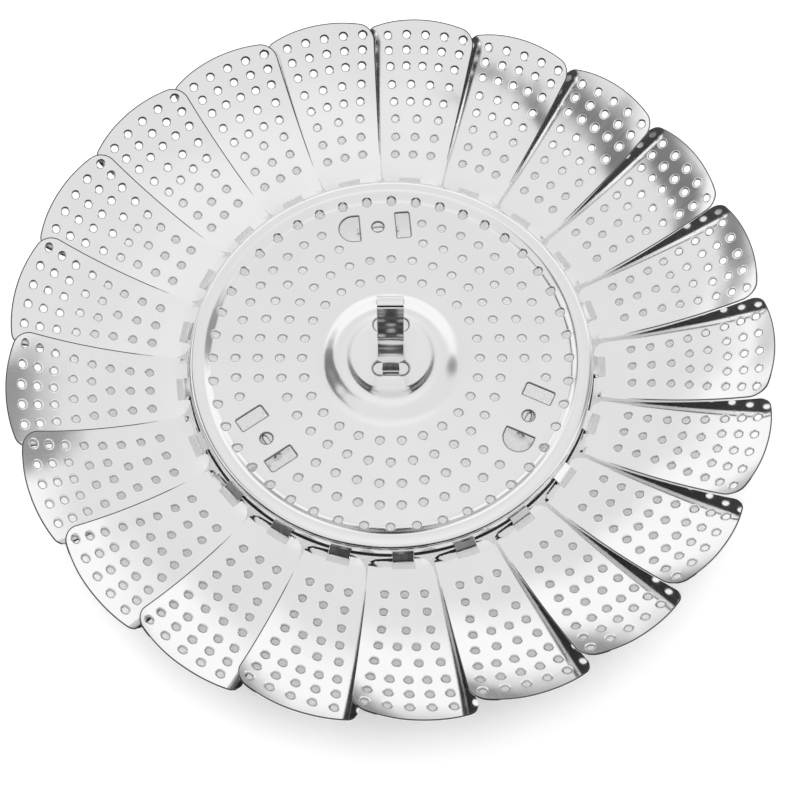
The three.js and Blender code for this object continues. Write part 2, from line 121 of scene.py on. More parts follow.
def steel(name, dark, light, roughness, wave_size, wave_height, by_pattern=False, streak=(1, 1, 1)):
    """Metal with a tone that wanders from dark to light, a roughness range, rolling grain and a slow wave.

    The streak factors draw the wave out along an axis. As the attribute grows, the tone goes on to the sheared
    tone, duller metal and partly painted shade, and then to a near-black painted shade.
    """
    material = bpy.data.materials.new(name)
    material.use_nodes = True
    tree = material.node_tree
    tree.nodes.clear()
    place = node(tree, "ShaderNodeTexCoord")
    spot = place.outputs["UV" if by_pattern else "Object"]
    stretch = node(tree, "ShaderNodeMapping", {"Vector": spot, "Scale": GRAIN_STRETCH})
    grain = node(tree, "ShaderNodeTexNoise", {"Vector": stretch.outputs[0], "Scale": 1.0, "Detail": 4.0})
    cloud = node(tree, "ShaderNodeTexNoise",
                 {"Vector": place.outputs["Object"], "Scale": CLOUD_SCALE, "Detail": 3.0})
    drawn = node(tree, "ShaderNodeMapping", {"Vector": place.outputs["Object"], "Scale": streak})
    wave = node(tree, "ShaderNodeTexNoise",
                {"Vector": drawn.outputs[0], "Scale": 1 / (wave_size * MM), "Detail": 1.0})
    tone = node(tree, "ShaderNodeMix", {"Factor": cloud.outputs["Fac"], "A": (*dark, 1), "B": (*light, 1)},
                data_type="RGBA")
    near = node(tree, "ShaderNodeAttribute", attribute_name="sheared_and_painted_shade")
    edge = node(tree, "ShaderNodeMapRange",
                {"Value": near.outputs["Fac"], "From Min": SHEARED_FROM, "From Max": SHEARED_TO})
    # Past the second level the colour goes to near black: painted shade at edges, the lip and lapped strips.
    cut = node(tree, "ShaderNodeMapRange", {"Value": near.outputs["Fac"], "From Min": PAINTED_SHADE_FROM, "From Max": PAINTED_SHADE_TO})
    dull = node(tree, "ShaderNodeMix", {"Factor": edge.outputs[0], "A": tone.outputs["Result"], "B": SHEARED_AND_SHADED_TONE},
                data_type="RGBA")
    shade = node(tree, "ShaderNodeMix", {"Factor": cut.outputs[0], "A": dull.outputs["Result"], "B": PAINTED_SHADE_TONE},
                 data_type="RGBA")
    mixed = node(tree, "ShaderNodeMath", {0: grain.outputs["Fac"], 1: cloud.outputs["Fac"]}, operation="ADD")
    rough = node(tree, "ShaderNodeMapRange", {"Value": mixed.outputs[0], "From Min": 0.6, "From Max": 1.4,
                                              "To Min": roughness[0], "To Max": roughness[1]})
    matt = node(tree, "ShaderNodeMix", {"Factor": edge.outputs[0], "A": rough.outputs[0],
                                        "B": SHEARED_ROUGHNESS})
    slow = node(tree, "ShaderNodeBump", {"Height": wave.outputs["Fac"], "Strength": 1.0,
                                         "Distance": wave_height * MM})
    fine = node(tree, "ShaderNodeBump", {"Height": grain.outputs["Fac"], "Strength": 0.25,
                                         "Distance": GRAIN_HEIGHT * MM, "Normal": slow.outputs[0]})
    shader = node(tree, "ShaderNodeBsdfPrincipled",
                  {"Base Color": shade.outputs["Result"], "Roughness": matt.outputs["Result"], "Metallic": 1.0,
                   "Normal": fine.outputs[0]})
    node(tree, "ShaderNodeOutputMaterial", {"Surface": shader.outputs[0]})
    return material


petal_steel = steel("petal_steel", (0.88, 0.88, 0.88), (0.94, 0.94, 0.935), (0.07, 0.15), 34, 0.5, True)
base_steel = steel("base_steel", (0.87, 0.87, 0.87), (0.93, 0.93, 0.925), (0.08, 0.17), 30, 0.15)
handle_steel = steel("handle_steel", (0.84, 0.84, 0.84), (0.92, 0.92, 0.915), (0.06, 0.12), 4, 0.14,
                     streak=(0.08, 1, 1))
leg_steel = steel("leg_steel", (0.78, 0.78, 0.775), (0.87, 0.87, 0.86), (0.16, 0.28), 12, 0.05)
print("materials:", [m.name for m in (petal_steel, base_steel, handle_steel, leg_steel)])

# %% [markdown]
# ## From a flat pattern to a sheet
#
# A perforated sheet could be cut with boolean modifiers, hole by hole. That is slow and leaves ragged
# triangles. Here the flat pattern is triangulated once with all its loops, so each hole is round and clean,
# and then a formula bends the upper and the lower face. The wall between the faces runs along every edge that
# only one triangle uses. A punch also pulls the sheet down round the edge of a hole, and that is what makes a
# punched hole glint. Rings of free points round the openings give this pressed edge its shape.

# %% Pattern helpers
EDGE_PULL = 0.55
EDGE_DROP = 0.22
UNDER_DROP = 0.7
RING_OFFSETS = (0.8 * EDGE_PULL, EDGE_PULL, 1.25 * EDGE_PULL)
MARKS_AT_ONCE = 60


def ring(middle, radius, sides):
    """Points on a circle: middle plus radius times (cosine, sine)."""
    angle = np.arange(sides) * (2 * np.pi / sides)
    return np.asarray(middle) + radius * np.stack([np.cos(angle), np.sin(angle)], axis=1)


def rounded(low, high, radius, steps=4):
    """A rectangle between two corners whose four corners are quarter circles."""
    (x0, y0), (x1, y1) = low, high
    quarter = np.linspace(0, np.pi / 2, steps + 1)
    centres = [(x1 - radius, y1 - radius), (x0 + radius, y1 - radius),
               (x0 + radius, y0 + radius), (x1 - radius, y0 + radius)]
    turns = quarter + np.arange(4)[:, None] * (np.pi / 2)
    corners = np.array(centres)[:, None] + radius * np.stack([np.cos(turns), np.sin(turns)], axis=2)
    return corners.reshape(-1, 2)


def dense(loop, step=0.4):
    """The loop with its long sides divided, so that no side is much longer than a step."""
    after = np.roll(loop, -1, axis=0)
    counts = np.maximum(1, np.round(np.linalg.norm(after - loop, axis=1) / step)).astype(int)
    first = np.repeat(np.arange(len(loop)), counts)
    share = (np.arange(counts.sum()) - np.repeat(np.cumsum(counts) - counts, counts)) / counts[first]
    return loop[first] + (after - loop)[first] * share[:, None]


def distance(flat, marks):
    """From each point to the nearest of some marks, a few marks at a time to save memory."""
    away = np.full(len(flat), np.inf)
    for start in range(0, len(marks), MARKS_AT_ONCE):
        gap = flat[:, None] - marks[None, start:start + MARKS_AT_ONCE]
        away = np.minimum(away, np.hypot(gap[..., 0], gap[..., 1]).min(axis=1))
    return away


def within(flat, loop):
    """Points inside a loop: a ray towards +X crosses its sides an odd number of times."""
    x, y = flat[:, :1], flat[:, 1:]
    a, b = loop, np.roll(loop, -1, axis=0)
    rise = np.where(a[:, 1] == b[:, 1], 1, b[:, 1] - a[:, 1])
    crossed = ((a[:, 1] > y) != (b[:, 1] > y)) & (x < a[:, 0] + (b[:, 0] - a[:, 0]) * (y - a[:, 1]) / rise)
    return crossed.sum(axis=1) % 2 == 1


def pressed_edge(flat, middles, radius, loops=()):
    """How far the punch has pulled the sheet down: a cone from the edge of an opening to EDGE_PULL outside it."""
    away = distance(flat, middles) - radius
    if len(loops):
        away = np.minimum(away, distance(flat, np.concatenate(loops)))
    return EDGE_DROP * np.clip(1 - away / EDGE_PULL, 0, 1)


def edge_rings(loops, offsets=RING_OFFSETS):
    """Free points round each loop, moved out along its normals by some offsets, or in by negative ones."""
    rings = []
    for loop in loops:
        way = np.roll(loop, -1, axis=0) - np.roll(loop, 1, axis=0)
        out = np.stack([way[:, 1], -way[:, 0]], axis=1) / np.linalg.norm(way, axis=1)[:, None]
        out *= np.sign(((loop - loop.mean(axis=0)) * out).sum())
        rings += [loop + out * offset for offset in offsets]
    return np.concatenate(rings)


def triangulate(loops, free_points):
    """Fills the first loop, then drops each triangle that has all its corners on one of the other loops."""
    starts = np.cumsum([0] + [len(loop) for loop in loops[:-1]])
    edges = np.concatenate([
        start + np.stack([np.arange(len(loop)), np.roll(np.arange(len(loop)), -1)], axis=1)
        for start, loop in zip(starts, loops)])
    flat = np.concatenate([*loops, free_points])
    owner = np.repeat(np.arange(len(loops) + 1), [len(points) for points in (*loops, free_points)])
    found = delaunay_2d_cdt([Vector(p) for p in flat.tolist()], edges.tolist(), [], 1, 1e-5)
    triangles = np.array(found[2])
    loop_of = owner[[origin[0] for origin in found[3]]][triangles]
    in_hole = (loop_of[:, 0] > 0) & (loop_of[:, 0] < len(loops)) & (loop_of == loop_of[:, :1]).all(axis=1)
    return np.array([tuple(p) for p in found[0]]), triangles[~in_hole]


def closed_sheet(upper, lower, triangles):
    """Upper face, turned-over lower face and a wall of quads along each edge that one triangle uses."""
    count = len(upper)
    sides = np.concatenate([triangles[:, [0, 1]], triangles[:, [1, 2]], triangles[:, [2, 0]]])
    code = np.sort(sides, axis=1) @ np.array([count, 1])
    _, where, uses = np.unique(code, return_inverse=True, return_counts=True)
    a, b = sides[uses[where] == 1].T
    wall = np.stack([a, a + count, b + count, b], axis=1)
    return np.concatenate([upper, lower]), [triangles, triangles[:, ::-1] + count, wall]


def joined(parts):
    """Several meshes as one: the polygons of each are moved up by the points before it."""
    starts = np.cumsum([0] + [len(points) for points, _ in parts[:-1]])
    polygons = [polygon + start for start, (_, sets) in zip(starts, parts) for polygon in sets]
    return np.concatenate([points for points, _ in parts]), polygons


def piece(name, points, polygons, material, node_name, body, slot, crease=35, uv=None, sheared_and_painted_shade=()):
    """Puts arrays in millimetres into a mesh, seats it on its body and lets it stand for its CAD node."""
    mesh = bpy.data.meshes.new(name)
    mesh.from_pydata((points * MM).tolist(), [], [face for group in polygons for face in group.tolist()])
    mesh.polygons.foreach_set("use_smooth", np.ones(len(mesh.polygons), dtype=bool))
    mesh.set_sharp_from_angle(angle=math.radians(crease))
    if uv is not None:
        corner = np.empty(len(mesh.loops), dtype=np.int32)
        mesh.loops.foreach_get("vertex_index", corner)
        mesh.uv_layers.new(name="pattern").data.foreach_set("uv", uv[corner].astype(np.float32).ravel())
    if len(sheared_and_painted_shade):
        mesh.attributes.new("sheared_and_painted_shade", "FLOAT", "POINT")
        values = np.zeros(len(points), dtype=np.float32)
        values[:len(sheared_and_painted_shade)] = sheared_and_painted_shade
        mesh.attributes["sheared_and_painted_shade"].data.foreach_set("value", values)
    mesh.materials.append(material)
    made = bpy.data.objects.new(name, mesh)
    scene.collection.objects.link(made)
    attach(made, body)
    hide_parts(node_name)
    return made


def turned(points, clockwise, radius, height):
    """Moves local X outwards by a radius, then turns it to a clockwise angle from +Y, in degrees."""
    angle = math.radians(90 - clockwise)
    x = points[:, 0] + radius
    y = points[:, 1]
    return np.stack([x * math.cos(angle) - y * math.sin(angle),
                     x * math.sin(angle) + y * math.cos(angle),
                     points[:, 2] + height], axis=1)


print("pattern helpers ready")

# %% [markdown]
# ## Petals
#
# A petal is a fan-shaped leaf. Near its inner edge it has a small window, and the bar inside that window is
# the hinge. Its middle line is an arc that grows steeper outwards. The leaf is also twisted a little, so that
# its clockwise edge lifts over the next leaf, and that edge curls up towards the tip. One flat pattern with
# eight rows of holes serves all the petals.
#
# A thin dark line of painted shade runs along the cut edge of a petal on its lifted side and round its tip. Beside
# each lap the photograph also shows a black band, and what makes it can't be seen there. Here a strip under the
# lifted side is painted dark as shade, and the petal below mirrors it. The strip starts a little inside the edge,
# so the band stays narrow.

# %% Petal sizes
PETALS = 21
FIRST_PETAL = 5.2
HINGE_RADIUS = 63.5
HINGE_HEIGHT = 24.0
PETAL_SHEET = 0.5
# Room between pieces that move on each other.
PLAY = 0.3
PETAL_LENGTH = 56.0
SLOPES = (math.radians(6), math.radians(34))
TWISTS = (math.radians(4), math.radians(7.8))
TWIST_RUN_IN = 1.8
EDGE_CURL = 0.006
UPPER_LAP = (0.6, 0.5)
UNDER_LAP = (-1.3, 2.0)
TIP_ARC = 45.0
TIP_CORNERS = (3.0, 4.5)
UPPER_INNER_CORNER = 1.8
UNDER_INNER_CORNER = 4.4
BAR_WIDTH = 1.0
WINDOW_WIDTH = 7.0
WINDOW_DEPTH = 2.7
PETAL_HOLE = 1.1
# Each row of holes: its length from the hinge, the number of holes and the step between them.
HOLE_ROWS = [(11.4, 3, 5.85), (17.4, 3, 6.35), (23.5, 3, 7.1), (29.2, 4, 5.45),
             (34.9, 4, 6.3), (40.9, 5, 5.3), (46.1, 5, 5.8), (51.0, 5, 6.2)]
ROW_DRIFT = 0.02
ROW_BOW = 0.006
GRID_STEP = 2.4
WINDOW_CORNER = 0.35
# The dark rim of painted shade starts this far from the hinge, and leaves out a strip along the hidden edge.
RIM_WIDTH = 0.36
RIM_START = 8.0
UNDER_EDGE = 0.7
# The strip of painted shade under the lifted edge: its far side from that edge, its inset at the tip and how fast
# it sets in.
SHADED_STRIP_WIDTH = 8.0
SHADED_STRIP_INSET = 1.1
SHADED_STRIP_FADE = 0.35


def blend(pair, share):
    """The value at a share of the way from the first of a pair to the second."""
    return pair[0] + (pair[1] - pair[0]) * share


def middle_line(along):
    """Outward distance, height and slope of an arc whose slope grows evenly with length."""
    bend = (SLOPES[1] - SLOPES[0]) / PETAL_LENGTH
    slope = SLOPES[0] + bend * along
    return (np.sin(slope) - math.sin(SLOPES[0])) / bend, (math.cos(SLOPES[0]) - np.cos(slope)) / bend, slope


def petal_surface(along, across, lift):
    """Middle line plus normal times height: twist tangent times across, curl times across squared, and lift."""
    out, high, slope = middle_line(along)
    share = np.clip(along / PETAL_LENGTH, 0, 1)
    start = np.clip(along / TWIST_RUN_IN, 0, 1)
    twist = blend(TWISTS, share) * start * start * (3 - 2 * start)
    up = np.tan(twist) * across + EDGE_CURL * share * np.maximum(across, 0) ** 2 + lift
    return np.stack([out - np.sin(slope) * up, -across, high + np.cos(slope) * up], axis=1)


def corner_inset(radius, from_end):
    """How far a quarter circle has drawn an edge in, at a distance from its end."""
    left = np.clip(radius - from_end, 0, radius)
    return radius - np.sqrt(radius ** 2 - left ** 2)


def half_width(along, upper):
    """Half the pitch of the petals at that radius, plus the lap, less the rounded inner corner."""
    share = np.clip(along / PETAL_LENGTH, 0, 1)
    half = (HINGE_RADIUS + middle_line(along)[0]) * math.tan(math.pi / PETALS)
    corner = UPPER_INNER_CORNER if upper else UNDER_INNER_CORNER
    return half + blend(UPPER_LAP if upper else UNDER_LAP, share) - corner_inset(corner, along + BAR_WIDTH / 2)


def reach(across, upper):
    """The length of the petal at a place across its tip: an arc, less the rounded corner."""
    edge = half_width(np.array(PETAL_LENGTH), upper) - np.abs(across)
    sag = TIP_ARC - np.sqrt(TIP_ARC ** 2 - across ** 2)
    return PETAL_LENGTH - sag - corner_inset(TIP_CORNERS[int(upper)], edge)


print("petal middle line ends at, mm:", [round(float(v), 1) for v in middle_line(PETAL_LENGTH)[:2]])

# %% Petal outline and holes
def petal_outline():
    """One turn round the petal: along its lower edge, over the tip and back along its upper edge."""
    tips = {upper: float(half_width(np.array(PETAL_LENGTH), upper)) for upper in (False, True)}
    ends = {upper: float(reach(np.array(tips[upper]), upper)) for upper in (False, True)}
    steps = np.concatenate([np.linspace(0, 0.07, 8)[:-1], np.linspace(0.07, 1, 24)])
    lower = -BAR_WIDTH / 2 + steps * (ends[False] + BAR_WIDTH / 2)
    upper = -BAR_WIDTH / 2 + steps[::-1] * (ends[True] + BAR_WIDTH / 2)
    share = np.sin(np.linspace(-1, 1, 61)[1:-1] * np.pi / 2)
    under = share < 0
    tip_along = np.where(under, reach(share * tips[False], False), reach(share * tips[True], True))
    tip_across = share * np.where(under, half_width(tip_along, False), half_width(tip_along, True))
    along = np.concatenate([lower, tip_along, upper])
    across = np.concatenate([-half_width(lower, False), tip_across, half_width(upper, True)])
    return np.stack([along, -across], axis=1)


def hole_middles():
    """Rows of evenly spaced holes. A row bows in at its ends and drifts with the lifted edge."""
    return np.concatenate([
        np.stack([length - ROW_BOW * spread ** 2, -(spread + ROW_DRIFT * length)], axis=1)
        for length, count, step in HOLE_ROWS
        for spread in [(np.arange(count) - (count - 1) / 2) * step]])


print("outline of", len(petal_outline()), "points and", len(hole_middles()), "holes")

# %% Petal pattern
def shaded_strip_start(along):
    """How far inside the lifted edge the strip of painted shade starts on the underside."""
    return RIM_WIDTH + SHADED_STRIP_INSET * np.clip(along / PETAL_LENGTH, 0, 1)


def petal_pattern():
    """The outline with its window and holes, filled with triangles about one grid step wide."""
    window_end = BAR_WIDTH / 2 + WINDOW_DEPTH
    window = rounded((BAR_WIDTH / 2, -WINDOW_WIDTH / 2), (window_end, WINDOW_WIDTH / 2), WINDOW_CORNER)
    middles = hole_middles()
    holes = [ring(middle, PETAL_HOLE, 16)[::-1] for middle in middles]
    lines = np.arange(0, 55, GRID_STEP), np.arange(-17, 23, GRID_STEP)
    along, side = [g.ravel() for g in np.meshgrid(*lines, indexing="ij")]
    across = -side
    upper = across > 0
    inside = np.where(upper, half_width(along, True) - across, half_width(along, False) + across) > 1.0
    tip = np.where(upper, reach(np.clip(across, 0, 16), True), reach(np.clip(across, -22, 0), False))
    inside &= tip - along > 1.0
    grid = np.stack([along, side], axis=1)
    inside &= distance(grid, middles) > PETAL_HOLE + RING_OFFSETS[-1] + 0.5
    inside &= (np.abs(side) > WINDOW_WIDTH / 2 + 0.8) | (along > window_end + 0.8)
    outline = dense(petal_outline(), 1.2)
    start = shaded_strip_start(outline[:, :1])
    strips = edge_rings([outline], (-start, -start - SHADED_STRIP_FADE))
    rims = edge_rings([outline], (-RIM_WIDTH / 2, -RIM_WIDTH))
    clear = (strips[:, 0] > 6) & (distance(strips, np.concatenate(holes)) > 1.5 * EDGE_PULL)
    free = np.concatenate([grid[inside], edge_rings(holes), rims, strips[clear]])
    return outline, *triangulate([outline, window[::-1], *holes], free)


def petal_marks(outline, flat, holes_pressed):
    """The attribute of the upper and lower face: 1 at pressed holes, 2 for painted shade on the rim and on the
    strip under the lifted edge.
    """
    beyond = np.clip(flat[:, 0] / RIM_START - 1, 0, 1)
    # The rim and the strip under the lifted edge are painted shade, near black.
    rim = np.clip(4 - 4 * distance(flat, outline) / RIM_WIDTH, 0, 2) * beyond
    rim *= half_width(flat[:, 0], False) - flat[:, 1] > UNDER_EDGE
    inset = half_width(flat[:, 0], True) + flat[:, 1]
    fade_in = np.clip((inset - shaded_strip_start(flat[:, 0])) / SHADED_STRIP_FADE, 0, 1)
    shaded_strip = 2 * fade_in * np.clip(SHADED_STRIP_WIDTH - inset, 0, 1) * beyond
    return np.concatenate([np.maximum(holes_pressed, rim), np.maximum(holes_pressed, shaded_strip)])


outline, pattern, petal_triangles = petal_pattern()
pressed = pressed_edge(pattern, hole_middles(), PETAL_HOLE)
petal_sheared_and_shade = petal_marks(outline, pattern, pressed / EDGE_DROP)
lifts = (PETAL_SHEET / 2 - pressed, -PETAL_SHEET / 2 - UNDER_DROP * pressed)
faces = [petal_surface(pattern[:, 0], -pattern[:, 1], lift) for lift in lifts]
petal_points, petal_polygons = closed_sheet(*faces, petal_triangles)
petal_uv = np.tile(pattern[:, ::-1] * MM, (2, 1))
print("one petal:", len(hole_middles()), "holes,", len(petal_points), "points")

# %% Petals in a ring
for index in range(PETALS):
    name = "petal_%02d" % (index + 1)
    spot = turned(petal_points, FIRST_PETAL + 360 * index / PETALS, HINGE_RADIUS, HINGE_HEIGHT)
    leaf = piece(name + "_leaf", spot, petal_polygons, petal_steel, name, name, "petal_steel",
                 uv=petal_uv, sheared_and_painted_shade=petal_sheared_and_shade)
print(PETALS, "petals, each of", len(leaf.data.polygons), "faces")

# %% [markdown]
# ## Base plate
#
# The plate is one stamping: a dished dome in the middle, a flat part full of holes and a raised bead at the
# rim. The bead swells softly on its inner side, has a square shoulder outside and ends in a narrow lip. The
# section is a line from the axis to that lip, and the plate is that line turned about the axis. The pattern is
# drawn in polar form with the length along the section as its radius, so holes, windows and slots can be cut
# anywhere on it, also where the sheet is bent.

# %% Plate section
BASE_SHEET = 0.6
PLATE_TOP = HINGE_HEIGHT + 5
BEAD_START = 54.4
BEAD_CREST = 58.7
BEAD_TOP = PLATE_TOP + 1.9
BEAD_OUTER = 62.5
BEAD_FOOT = HINGE_HEIGHT + 3.9
SHOULDER_POWER = 2 / 3
DOME_RADIUS = 23.4
DOME_RIM = 14.8
DOME_TOP = PLATE_TOP + 2.6
DISH_RADIUS = 11.4
DISH_FLOOR = PLATE_TOP + 1.9
HOOK_SHEET = 0.5
HOOK_MIDDLE = math.hypot(BAR_WIDTH, PETAL_SHEET) / 2 + PLAY + HOOK_SHEET / 2
LIP_RADIUS = HINGE_RADIUS - 0.5
LIP_HEIGHT = HINGE_HEIGHT + 1.65
LIP_ROUND = 0.5
LIP_STEPS = 7


def swell(start, end, steps):
    """Half a cosine wave from one point of the section to another, without its first point."""
    share = np.arange(1, steps + 1) / steps
    (r0, z0), (r1, z1) = start, end
    return np.stack([r0 + (r1 - r0) * share, z0 + (z1 - z0) * (1 - np.cos(np.pi * share)) / 2], axis=1)


def plate_section():
    """Dish, dome and flat, then the bead and its lip. The shoulder is a quarter of a squared-off ellipse."""
    turn = np.linspace(np.pi / 2, 0, 16)[1:]
    shoulder = np.stack([BEAD_CREST + (BEAD_OUTER - BEAD_CREST) * np.cos(turn) ** SHOULDER_POWER,
                         BEAD_FOOT + (BEAD_TOP - BEAD_FOOT) * np.sin(turn) ** SHOULDER_POWER], axis=1)
    flare = np.linspace(np.pi, 1.5 * np.pi, LIP_STEPS)
    lip = LIP_ROUND * np.stack([np.cos(flare), 1 + np.sin(flare)], axis=1) + (LIP_RADIUS, LIP_HEIGHT)
    return np.concatenate([
        [(0, DISH_FLOOR), (DISH_RADIUS, DISH_FLOOR)],
        swell((DISH_RADIUS, DISH_FLOOR), (DOME_RIM, DOME_TOP), 10),
        swell((DOME_RIM, DOME_TOP), (DOME_RADIUS, PLATE_TOP), 12),
        [(BEAD_START, PLATE_TOP)],
        swell((BEAD_START, PLATE_TOP), (BEAD_CREST, BEAD_TOP), 14),
        shoulder,
        lip])


section = plate_section()
steps = np.diff(section, axis=0)
section_length = np.concatenate([[0], np.cumsum(np.hypot(*steps.T))])
tangent = np.gradient(section, section_length, axis=0)
tangent /= np.linalg.norm(tangent, axis=1)[:, None]
section_normal = np.stack([-tangent[:, 1], tangent[:, 0]], axis=1)
print("section length, mm:", round(float(section_length[-1]), 1))


def on_pattern(plan):
    """Plan points moved out to their length along the section, so a hole in plan becomes one in the pattern."""
    radius = np.linalg.norm(plan, axis=1)
    rising = np.maximum.accumulate(section[:-1, 0]) + np.arange(len(section) - 1) * 1e-9
    length = np.interp(radius, rising, section_length[:-1])
    return plan * (length / np.maximum(radius, 1e-9))[:, None]


def plate_face(flat, drop):
    """Pattern points bent back to the section, and moved along its normal by a drop."""
    length = np.linalg.norm(flat, axis=1)
    way = flat / np.maximum(length, 1e-9)[:, None]
    spot = [np.interp(length, section_length, section[:, i]) for i in (0, 1)]
    normal = [np.interp(length, section_length, section_normal[:, i]) for i in (0, 1)]
    outwards = way * (spot[0] - normal[0] * drop)[:, None]
    return np.concatenate([outwards, (spot[1] - normal[1] * drop)[:, None]], axis=1)

# %% [markdown]
# ### Holes, leg windows and handle slots
#
# The plate has five rings of holes. Three leg stations interrupt them: at each one, two lugs are bent down
# out of the sheet and leave a window each, round or square, with a small hole between them. The handle goes
# through two slots with round ends in the dish. The edges of windows, slots and lip are painted dark, as painted
# shade.

# %% Plate openings
PLATE_HOLE = 1.25
HOLE_MARGIN = 1.05
HOLE_RINGS = [(27.5, 26), (34.35, 32), (41.2, 38), (48.05, 46), (54.9, 44)]
STATION_TURN = -5.3
STATION_RADIUS = 46.1
LUG_FACE = 5.9
LUG_HALF = 4.5
LUG_CORNER = 0.6
STATION_HOLE = 1.85
ROUND_LUG = 6.4
SQUARE_LUG = 4.3
# Depth of the lug on the clockwise side and on the other side of each station.
STATIONS = [(SQUARE_LUG, ROUND_LUG), (ROUND_LUG, SQUARE_LUG), (SQUARE_LUG, SQUARE_LUG)]
HANDLE_BACK = 3.0
SLOT_HALF = 5.4
SLOT_LENGTH = 4.2
SLOT_OUTER = 9.37
# Points round each ring of the pattern: few on the dome, many from the flat to the lip.
DOME_POINTS = 108
RIM_POINTS = 252
FLAT_MIDDLE = 40


def lug_outline(depth, steps=10):
    """Half width at each depth: straight sides, then a half circle for a deep lug or small corners."""
    corner = LUG_HALF if depth > LUG_HALF else LUG_CORNER
    turn = np.linspace(0, np.pi / 2, steps)
    return np.stack([LUG_HALF - corner + corner * np.cos(turn), depth - corner + corner * np.sin(turn)], axis=1)


def lug_window(depth, side):
    """The hole that a lug leaves, from the bend outwards, in the station's own X and Y."""
    half = lug_outline(depth)
    right = np.concatenate([[(LUG_HALF, 0)], half])
    left = right[::-1] * (-1, 1)
    loop = np.concatenate([right, left[1:] if depth > LUG_HALF else left])
    return np.stack([loop[:, 0], side * (LUG_FACE + loop[:, 1])], axis=1)


def in_plan(local, index):
    """Station points turned to their place in plan."""
    flat = np.concatenate([local, np.zeros((len(local), 1))], axis=1)
    return turned(flat, STATION_TURN + 120 * index, STATION_RADIUS, 0)[:, :2]


def plate_loops():
    """Every opening of the plate as a loop in plan, the windows and slots first and the round holes last."""
    loops = []
    for index, depths in enumerate(STATIONS):
        loops += [in_plan(lug_window(depth, side), index) for depth, side in zip(depths, (-1, 1))]
        loops.append(in_plan(ring((0, 0), STATION_HOLE, 20), index))
    for side in (-1, 1):
        y = sorted((HANDLE_BACK + side * SLOT_OUTER, HANDLE_BACK + side * (SLOT_OUTER - SLOT_LENGTH)))
        loops.append(rounded((-SLOT_HALF, y[0]), (SLOT_HALF, y[1]), SLOT_LENGTH / 2 - 0.01, 8))
    middles = np.concatenate([ring((0, 0), radius, count) for radius, count in HOLE_RINGS])
    clear = np.ones(len(middles), dtype=bool)
    for index, depths in enumerate(STATIONS):
        turn = math.radians(90 - STATION_TURN - 120 * index)
        x = middles[:, 0] * math.cos(turn) + middles[:, 1] * math.sin(turn) - STATION_RADIUS
        y = middles[:, 1] * math.cos(turn) - middles[:, 0] * math.sin(turn)
        side_reach = LUG_FACE + np.where(y < 0, depths[0], depths[1])
        margin = PLATE_HOLE + HOLE_MARGIN
        clear &= (np.abs(x) > LUG_HALF + margin) | (np.abs(y) > side_reach + margin)
    return loops, [ring(middle, PLATE_HOLE, 18) for middle in middles[clear]]


def plate_shell():
    """The pattern filled with triangles and bent, and its attribute: 1 at holes, 2 for painted shade at the edges
    of windows and slots and on the lip.

    Rings of free points are added only where the sheet curves.
    """
    cut, punched = plate_loops()
    cut = [dense(loop) for loop in cut]
    openings = [on_pattern(loop) for loop in cut + punched]
    middles = np.array([loop.mean(axis=0) for loop in openings])
    holes = middles[len(cut):]
    lengths = section_length[1:-1]
    counts = np.where(lengths > FLAT_MIDDLE, RIM_POINTS, DOME_POINTS)
    free = np.concatenate([[(0, 0)], *[ring((0, 0), length, count) for length, count in zip(lengths, counts)]])
    clear = distance(free, np.concatenate(openings)) > RING_OFFSETS[-1] + 0.2
    clear &= ~np.any([within(free, loop) for loop in openings], axis=0)
    free = np.concatenate([free[clear], edge_rings(openings)])
    flat, triangles = triangulate([ring((0, 0), section_length[-1], RIM_POINTS), *openings], free)
    drop = pressed_edge(flat, holes, PLATE_HOLE, openings[:len(cut)])
    # The lip and the edges of windows and slots are painted near black, as painted shade.
    on_lip = np.linalg.norm(flat, axis=1) > section_length[-LIP_STEPS] + 1e-3
    sheet = closed_sheet(plate_face(flat, drop), plate_face(flat, BASE_SHEET + UNDER_DROP * drop), triangles)
    painted_edge_shade = pressed_edge(flat, np.concatenate(openings[:len(cut)]), 0)
    return *sheet, np.maximum.reduce([drop / EDGE_DROP, 2 * painted_edge_shade / EDGE_DROP, 2 * on_lip])


*plate, plate_sheared_and_shade = plate_shell()
print("plate:", len(plate[0]), "points,", len(plate_loops()[1]), "holes")

# %% [markdown]
# ## Bent strips
#
# Hooks, lugs, legs and the handle are all strips of sheet bent along a line. Each is a small section with
# chamfered corners, carried along its centre line. The half width may change along the line, which makes
# round lug ends and the narrow necks of the handle.

# %% Strip helper
def strip(line, sheet, half_widths, chamfer=0.12):
    """An eight-sided section (across, through) carried along a line in X and Z, across being Y."""
    way = np.gradient(line, axis=0)
    way /= np.linalg.norm(way, axis=1)[:, None]
    normal = np.stack([-way[:, 1], way[:, 0]], axis=1)
    wide = np.broadcast_to(np.asarray(half_widths, dtype=float), len(line))
    thick = sheet / 2
    across = np.array([1, 1, 1, 1, -1, -1, -1, -1]) * wide[:, None]
    across = across + chamfer * np.array([-1, 0, 0, -1, 1, 0, 0, 1])
    through = thick * np.array([1, 1, -1, -1, -1, -1, 1, 1]) + chamfer * np.array([0, -1, 1, 0, 0, 1, -1, 0])
    points = np.stack([line[:, None, 0] + normal[:, None, 0] * through, across,
                       line[:, None, 1] + normal[:, None, 1] * through], axis=2)
    first = np.arange(len(line) - 1)[:, None] * 8
    corner = np.arange(8)
    after = (corner + 1) % 8
    quads = np.stack([first + corner, first + after, first + 8 + after, first + 8 + corner], axis=2)
    caps = np.stack([corner[::-1], corner + 8 * (len(line) - 1)])
    return points.reshape(-1, 3), [quads.reshape(-1, 4), caps]


